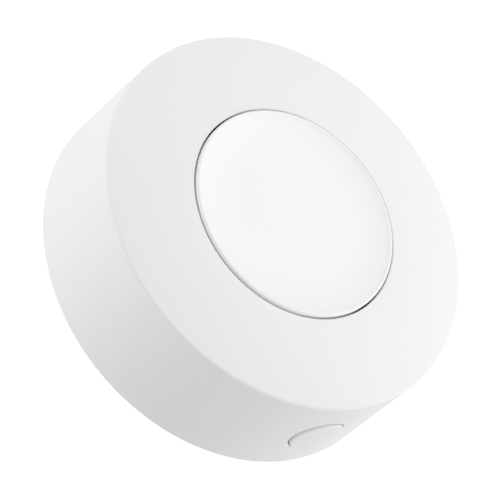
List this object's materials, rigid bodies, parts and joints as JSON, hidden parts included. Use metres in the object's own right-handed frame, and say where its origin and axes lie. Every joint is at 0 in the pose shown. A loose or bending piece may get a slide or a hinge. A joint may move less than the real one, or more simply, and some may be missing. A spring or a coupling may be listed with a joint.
{
  "type": "smart button",
  "caption": "Round white wireless push button with a dished cap in its front, a small round side key and a turning battery cover in its rear.",
  "frame": {"origin": "centre of the flat rear face", "axes": "+Z out of the front face along the main button's travel, -Y out of the side key"},
  "size_m": [0.045, 0.0452, 0.0158],
  "materials": {
    "housing_white": "fine matt moulded white plastic",
    "cap_white": "smooth satin moulded white plastic, slightly translucent",
    "frame_white": "plain moulded white plastic",
    "board_green": "green solder mask over glass fibre laminate",
    "switch_black": "black heat resistant plastic",
    "steel": "plain stainless steel",
    "tinned_metal": "tinned metal",
    "gasket_plastic": "moulded sealing ring",
    "cathode_black": "pressed black pellet",
    "separator_white": "thin unwoven sheet",
    "anode_metal": "soft dull metal disc, about as heavy as plastic",
    "spring_metal": "nickel plated spring strip",
    "chip_black": "black moulded package",
    "ceramic_blue": "glazed ceramic with metal ends",
    "led_white": "white package with a clear lens",
    "capacitor_orange": "moulded package",
    "capacitor_tan": "ceramic with metal ends",
    "screw_steel": "zinc plated steel"
  },
  "bodies": {
    "case": {"front_housing": "housing_white", "inner_frame": "frame_white", "circuit_board": "board_green", "main_switch_base": "switch_black", "main_switch_cover": "steel", "main_switch_dome": "steel", "main_switch_terminals": "tinned_metal", "side_switch_base": "switch_black", "side_switch_cover": "steel", "side_switch_dome": "steel", "side_switch_terminals": "tinned_metal", "cell_can": "steel", "cell_gasket": "gasket_plastic", "cell_cap": "steel", "cell_cathode": "cathode_black", "cell_separator": "separator_white", "cell_anode": "anode_metal", "positive_contact": "spring_metal", "negative_contact": "spring_metal", "radio_chip": "chip_black", "crystal": "tinned_metal", "chip_antenna": "ceramic_blue", "status_led": "led_white", "bulk_capacitor": "capacitor_orange", "chip_capacitors": "capacitor_tan", "chip_resistors": "chip_black", "chip_inductor": "ceramic_blue", "frame_screws": "screw_steel"},
    "main_button": {"main_button": "cap_white"},
    "main_plunger": {"main_switch_plunger": "switch_black"},
    "side_button": {"side_button": "housing_white"},
    "side_plunger": {"side_switch_plunger": "switch_black"},
    "rear_cover": {"rear_cover": "housing_white"}
  },
  "joints": [
    {"name": "main_button_press", "type": "slide", "parent": "case", "child": "main_button", "axis": [0, 0, -1], "range_m": [0, 0.0004], "stiffness_N_per_m": 4000, "springref_m": -0.0001},
    {"name": "main_plunger_press", "type": "slide", "parent": "case", "child": "main_plunger", "axis": [0, 0, -1], "range_m": [0, 0.0004], "deforming": ["main_switch_dome"]},
    {"name": "side_button_press", "type": "slide", "parent": "case", "child": "side_button", "axis": [0, 1, 0], "range_m": [0, 0.00035], "stiffness_N_per_m": 4000, "springref_m": -0.0001},
    {"name": "side_plunger_press", "type": "slide", "parent": "case", "child": "side_plunger", "axis": [0, 1, 0], "range_m": [0, 0.00035], "deforming": ["side_switch_dome"]},
    {"name": "rear_cover_turn", "type": "hinge", "parent": "case", "child": "rear_cover", "pos_m": [0, 0, 0], "axis": [0, 0, -1], "range_deg": [0, 30]}
  ],
  "couplings": [
    {"joint": "main_plunger_press", "follows": "main_button_press", "ratio": 1},
    {"joint": "side_plunger_press", "follows": "side_button_press", "ratio": 1}
  ]
}
